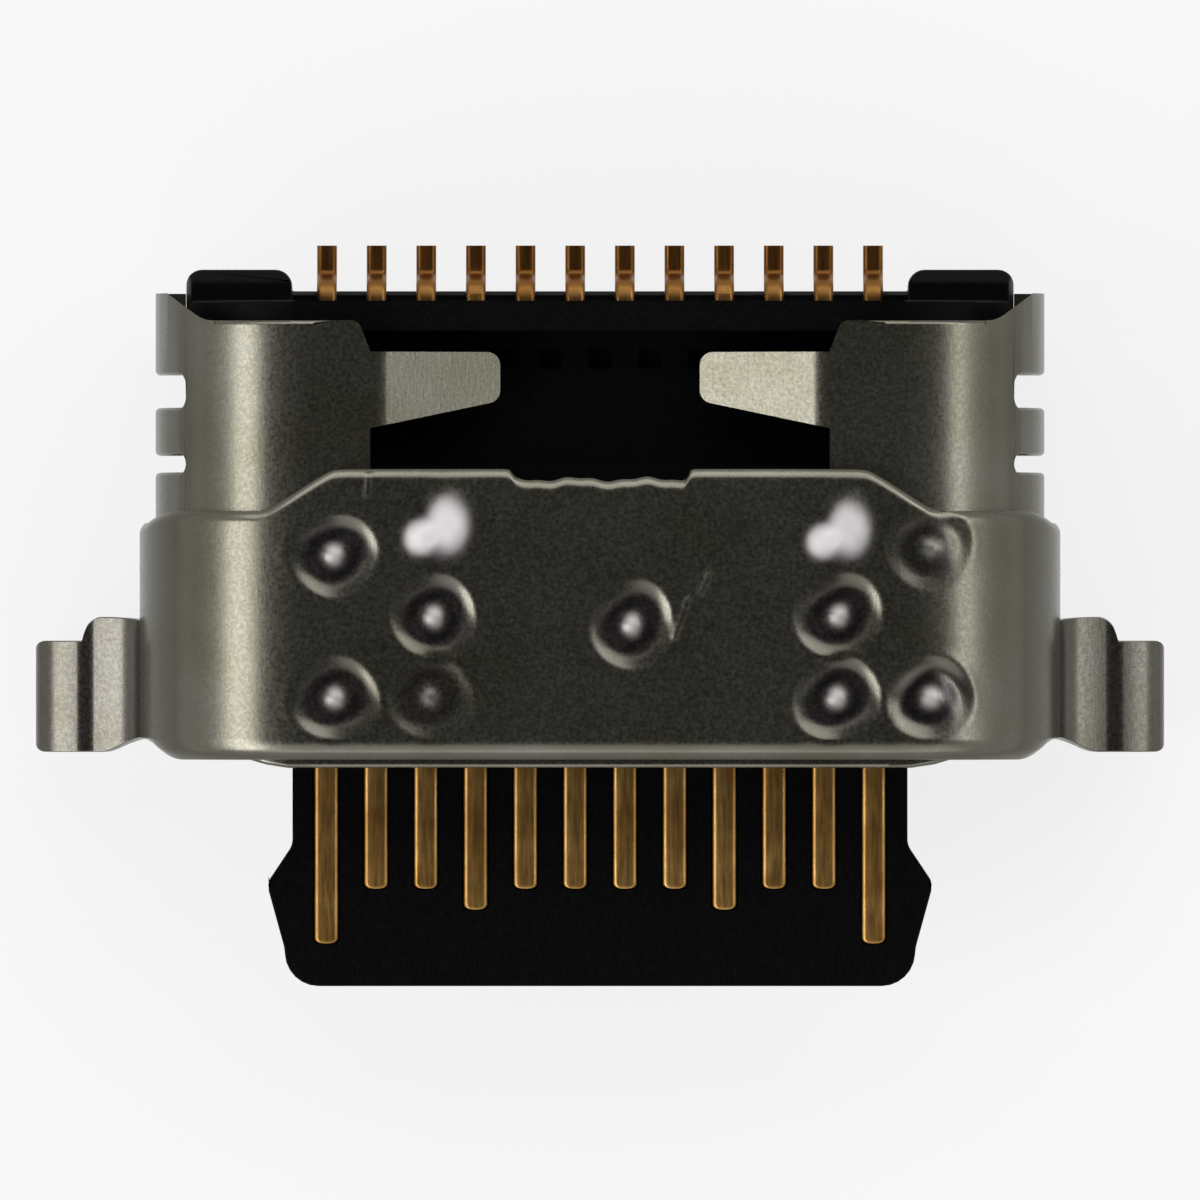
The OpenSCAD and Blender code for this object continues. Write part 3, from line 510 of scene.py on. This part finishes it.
# Each weld: its centre in X and Y, how strong it is, and how far it has melted over. Each scratch: its ends.
welds = (
    (-2.66, 0.605, 1.0, 0), (-1.63, 0.835, 0.9, 1.0), (-1.66, -0.015, 1.0, 0), (-2.65, -0.825, 0.95, 0),
    (-1.70, -0.815, 0.6, 0), (0.32, -0.095, 1.0, 0), (2.39, 0.795, 0.9, 0.9), (2.39, -0.005, 1.0, 0),
    (2.37, -0.825, 1.0, 0), (3.30, 0.675, 0.6, 0), (3.31, -0.825, 1.0, 0),
)
trough_r, trough_slope, trough_deep, middle_r = 0.445, 0.16, 0.064, 0.13
floor_r, floor_fade, floor_share, shallow_share, deep_angle = 0.34, 0.14, 0.6, 0.22, 0.6
rim_r, rim_wide, rim_high, nub_r, nub_high, blob_high = 0.46, 0.05, 0.006, 0.06, 0.018, 0.065
burnt_r, burnt_wide, haze_r, set_r = 0.2, 0.1, 0.5, 0.075
scratches = (((0.88, 0.16), (0.75, -0.22)), ((1.09, 0.41), (1.02, 0.23)), ((-2.33, 1.2), (-2.31, 1.4)))


def ease_in(t, soft):
    """A ramp from 0 at t = 0 to 1 at t = 1, with both corners rounded."""
    return 0.5 * (np.sqrt(t**2 + soft**2) - np.sqrt((t - 1) ** 2 + soft**2) + 1)


def bell(t, width=1.0):
    """1 at t = 0, falling to both sides along a bell curve, to 0.37 at width."""
    return np.exp(-((t / width) ** 2))


def rear_edge(x):
    """The rear edge's y at x: straight, with the rough notch in the middle and a slope down to each wall."""
    a = np.abs(x)
    slope = (rear_y - front_y - side_l) * ease_in((a - slope_x) / slope_wide, 0.09)
    rough = notch_deep + 0.018 * np.sin(9.0 * x + 0.6) + 0.008 * np.sin(23.0 * x)
    return rear_y - slope - rough * (1 - ease_in((a - notch_half) / 0.07, 0.2))


def wall_setback(z, depth, radius):
    """How far a wall's end edge draws back at height z: in a smooth S down the bend to depth, with a round
    corner of that radius at the wall's low edge."""
    down_the_bend = smooth_step((setback_start - z) / setback_run)
    return depth * down_the_bend + radius * quarter_round(1 - (z - wall_low_z) / radius)


def weld_relief(points):
    """The height of every weld at every point: a trough round a small nub, with a slight rim outside. Its
    floor is even, and turned half-way back to level on the bend; its outer part is deep at two opposite sides
    and shallow between them. A molten weld has two run-together blobs instead. Also returns how strongly heat
    has tinted each point, and where pale metal set again after melting."""
    height, heat, melt = (np.zeros(points.shape[:2]) for _ in range(3))
    for x, y, strength, molten in welds:
        lean = np.arcsin(np.clip((abs(x) - half_flat) / bend_out, 0, 1))
        off = points - np.array([x, y, axis_z + bend_out * np.cos(lean)])
        off_x, off_y = off[..., 0], off[..., 1]
        angle = np.arctan2(off_y, off_x)
        uneven = 1 + 0.04 * np.cos(2 * angle + x) + 0.03 * np.cos(3 * angle + 2 * y)
        d = np.linalg.norm(off, axis=-1) * uneven
        inside = ease_in((floor_r - d) / floor_fade, 0.2)
        sides = shallow_share + (1 - shallow_share) * (0.5 + 0.5 * np.cos(2 * (angle - deep_angle)))
        sides = sides + (floor_share - sides) * inside
        sunk = ease_in((trough_r - d) / trough_slope, 0.12) * (1 - bell(d, middle_r))
        turned = 0.5 * np.tan(lean) * np.sign(x) * off_x * inside
        rim = rim_high * sides * bell(d - rim_r, rim_wide)
        nub = nub_high * bell(d, nub_r)
        height += strength * (1 - 0.85 * molten) * (turned + rim + nub - trough_deep * sides * sunk)
        heat += strength * (0.75 * bell(d - burnt_r, burnt_wide) + 0.2 * bell(d, haze_r))
        melt += 0.75 * strength**2 * (1 - molten) * bell(d, set_r)
        large = np.hypot((off_x - 0.11) / 0.21, (off_y - 0.07) / 0.29)
        small = np.hypot((off_x + 0.17) / 0.16, (off_y + 0.06) / 0.17)
        ripple = 0.010 * np.sin(19 * off_x + 1) * np.sin(15 * off_y - 1)
        height += molten * (blob_high + ripple) * (bell(large) + 0.8 * bell(small))
        melt += molten * (bell(large**2) + bell(small**2))
    return height, np.clip(heat, 0, 1), np.clip(melt, 0, 1)


def scratch_relief(points, start, end):
    """The height of a scratch's burr along the line from start to end, in plan: a bell across the line."""
    burr_wide, burr_high = 0.028, 0.016
    start, along = np.array(start), np.subtract(end, start)
    share = np.clip(((points[..., :2] - start) @ along) / (along @ along), 0, 1)
    d = np.linalg.norm(points[..., :2] - start - share[..., None] * along, axis=-1)
    return burr_high * bell(d, burr_wide) * (points[..., 2] > axis_z)


# One side of the section in X and Z, with its normals, from the middle outwards: the flat top and the bend,
# then either the wall down to its low end or the ear. The ear's tilt changes evenly between the lengths in
# run, from the wall over two slopes with a level crease between them to the leg.
flat_x = np.linspace(0, half_flat, 112)
bend_a = np.linspace(0, np.pi / 2, 66)[1:]
bend_n = np.column_stack([np.sin(bend_a), np.cos(bend_a)])
flat = np.column_stack([flat_x, np.full_like(flat_x, axis_z + bend_out)])
shared = np.concatenate([flat, [half_flat, axis_z] + bend_out * bend_n])
shared_n = np.concatenate([np.tile([0.0, 1.0], (len(flat), 1)), bend_n])
top_z = board_z + sheet_t
run = np.array([0, 0.42, 0.29, 0.05, 0.07, 0.05, 0.24, 0.42]).cumsum()
run_tilt = [90, 31, 25, 4, 4, 24, 32, 90]
crease = run[3]
along = np.unique(np.concatenate([np.linspace(0, run[-1], 56), run]))
tilt = np.radians(np.interp(along, run, run_tilt))
step = np.diff(along)
ear_x = np.append(0, np.cumsum((np.cos(tilt[1:]) + np.cos(tilt[:-1])) / 2 * step))
ear_z = -np.append(0, np.cumsum((np.sin(tilt[1:]) + np.sin(tilt[:-1])) / 2 * step))
ear_x = wall_x + ear_x * (ear_edge_x - wall_x) / ear_x[-1]
ear_z -= ear_z[np.searchsorted(along, crease)]
ear_z = top_z + ear_z * (ear_start_z - top_z) / ear_z[0]
leg_z = np.linspace(ear_z[-1], leg_end_z, 10)[1:]
leg = np.column_stack([np.full_like(leg_z, ear_edge_x), leg_z])
tilt_n = np.column_stack([np.sin(tilt), np.cos(tilt)])
half_ear = np.concatenate([shared, np.column_stack([ear_x, ear_z]), leg])
half_ear_n = np.concatenate([shared_n, tilt_n, np.tile([1.0, 0.0], (len(leg), 1))])
half_count = len(half_ear)
wall_z = np.linspace(ear_z[0], wall_low_z, 8)
wall_columns = len(shared) + len(wall_z)
wall_z = np.append(wall_z, np.full(half_count - wall_columns, wall_low_z))
half_wall = np.concatenate([shared, np.column_stack([np.full_like(wall_z, wall_x), wall_z])])
half_wall_n = np.concatenate([shared_n, np.tile([1.0, 0.0], (len(wall_z), 1))])

# The rows run from the front edge to the rear edge in three bands, up to the ear's root, over it and behind
# it; a narrow slit parts the ear's rows from the wall's. They lie closer together at both edges.
band_front = np.append(1 - np.sin(np.linspace(np.pi / 2, 0.5, 5)), 1.0)
band_ear = np.linspace(0, 1, 46)
edge_share = 0.045
edge_rows = 1 - np.sin(np.linspace(0, np.pi / 2, 7)[1:])
band_rear = np.append(np.linspace(0, 1 - edge_share, 50), 1 - edge_share * edge_rows)
is_ear = np.repeat([False, True, False], [len(band_front), len(band_ear), len(band_rear)])


def side_y(line):
    """Every row's y for each column of one side, in the three bands. The ear's front edge steps out from its
    root, its rear edge has a hump that falls in a quarter round, and its leg's corners are rounded."""
    x, z = line[:, 0], line[:, 1]
    front = np.minimum(front_y + wall_setback(z, *front_setback), root_front - 2 * slit)
    y_front = front + (root_front - slit - front) * band_front[:, None]
    out = np.clip((x - wall_x) / ear_step_run, 0, 1)
    fall = hump_deep * quarter_round((x - hump_x) / hump_fall_l)
    leg_in = leg_round_y * quarter_round((x - ear_edge_x + leg_round_x) / leg_round_x)
    on_leg = x > ear_edge_x - 0.001
    tip = quarter_round((leg_corner_r - (z - leg_end_z)) / leg_corner_r) * on_leg
    leg_in = leg_in + leg_corner_r * tip
    lead = root_front - ear_step * smooth_step(out) + leg_in
    trail = root_rear - root_taper * (1 - out) ** 2 - fall - leg_in
    y_ear = lead + (trail - lead) * band_ear[:, None]
    side = np.where(x > wall_from_x, front_y + side_l - wall_setback(z, *rear_setback), rear_y)
    rear = np.minimum(rear_edge(x), side)
    y_rear = root_rear + slit + (rear - root_rear - slit) * band_rear[:, None]
    return y_front, y_ear, y_rear


front_rows, _, rear_rows = side_y(half_wall)
_, ear_rows, _ = side_y(half_ear)
half_y = np.concatenate([front_rows, ear_rows, rear_rows])
section = np.where(is_ear[:, None, None], half_ear[None], half_wall[None])
section_n = np.where(is_ear[:, None, None], half_ear_n[None], half_wall_n[None])
half_points = np.stack([section[..., 0], half_y, section[..., 1]], -1)
half_normals = np.stack([section_n[..., 0], np.zeros_like(half_y), section_n[..., 1]], -1)
mirror = np.array([-1, 1, 1])
points = np.concatenate([half_points[:, :0:-1] * mirror, half_points], 1)
normals = np.concatenate([half_normals[:, :0:-1] * mirror, half_normals], 1)

# The notch is not the same on both sides, so the rows behind the ears are laid again over the whole flat top.
top_x = 3.0
on_top = np.abs(points[0, :, 0]) < top_x
start_y = root_rear + slit
length_y = rear_edge(points[0, on_top, 0]) - start_y
points[-len(band_rear):, on_top, 1] = start_y + length_y * band_rear[:, None]

# Every row has the top and the bend. The ear's rows also have the ear, and the rows behind it the wall.
column = np.abs(np.arange(points.shape[1]) - (half_count - 1))
cell_column = np.maximum(column[:-1], column[1:])
ear_cells = is_ear[:-1] & is_ear[1:]
wall_cells = ~is_ear[:-1] & ~is_ear[1:] & (np.arange(len(is_ear) - 1) >= len(band_front))
keep = ear_cells[:, None] | (wall_cells[:, None] & (cell_column < wall_columns)) | (cell_column < len(shared))

# The relief: welds, scratches and both long edges rolled down. The ears are tinted all over, a little
# unevenly.
relief, heat, melt = weld_relief(points)
for start, end in scratches:
    relief += scratch_relief(points, start, end)
x, y, z = np.moveaxis(points, -1, 0)
ear_heat = 0.32 + 0.07 * np.sin(31 * y + 9 * x) * np.sin(47 * x - 13 * y)
heat = np.where(is_ear[:, None] & (z < ear_heat_z), ear_heat, heat)
near_front = y < (front_y + rear_y) / 2
roll_r, roll_drop = (np.where(near_front, *pair) for pair in zip(front_roll, rear_roll))
roll_drop = np.where(is_ear[:, None], 0, roll_drop)
from_edge = np.where(near_front, y - y[:1], y[-1:] - y)
relief = relief - roll_drop * np.clip(1 - from_edge / roll_r, 0, 1) ** 2

rows, columns = points.shape[:2]
index = np.arange(rows * columns).reshape(rows, columns)
quads = np.stack([index[:-1, :-1], index[:-1, 1:], index[1:, 1:], index[1:, :-1]], -1)[keep]
used, quads = np.unique(quads, return_inverse=True)
bracket_mesh = bpy.data.meshes.new("bracket_sheet")
bracket_mesh.from_pydata((points.reshape(-1, 3)[used] * MM).tolist(), [], quads.reshape(-1, 4).tolist())
for name, values in (("burn", heat), ("melt", melt)):
    marks = bracket_mesh.attributes.new(name, "FLOAT", "POINT")
    marks.data.foreach_set("value", values.reshape(-1)[used].astype(np.float32))
bracket_mesh.shade_smooth()
heat_tint = (0.07, 0.058, 0.066)
bracket_mesh.materials.append(
    rolled_steel("bracket_nickel", nickel, tarnished_nickel, 0.0007 * MM, painted_wall_shade, heat_tint))
bracket = add_piece("bracket_sheet", bracket_mesh)

# The sheet gets its thickness before the relief, which is only in its outer face. Last, its cut edges are
# eased.
sheet = bracket.modifiers.new("sheet", "SOLIDIFY")
sheet.thickness = sheet_t * MM
sheet.offset = -1
sheet.use_even_offset = False
whole = applied(bracket)
spots = np.empty(len(whole.vertices) * 3)
whole.vertices.foreach_get("co", spots)
spots[:len(used) * 3] += ((normals * relief[..., None]).reshape(-1, 3)[used] * MM).reshape(-1)
whole.vertices.foreach_set("co", spots)
ease = bracket.modifiers.new("eased_edges", "BEVEL")
ease.limit_method = "ANGLE"
ease.angle_limit = np.radians(50)
ease.width = 0.012 * MM
ease.segments = 2
ease.use_clamp_overlap = False
ease.harden_normals = True
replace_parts(bracket, "bracket")
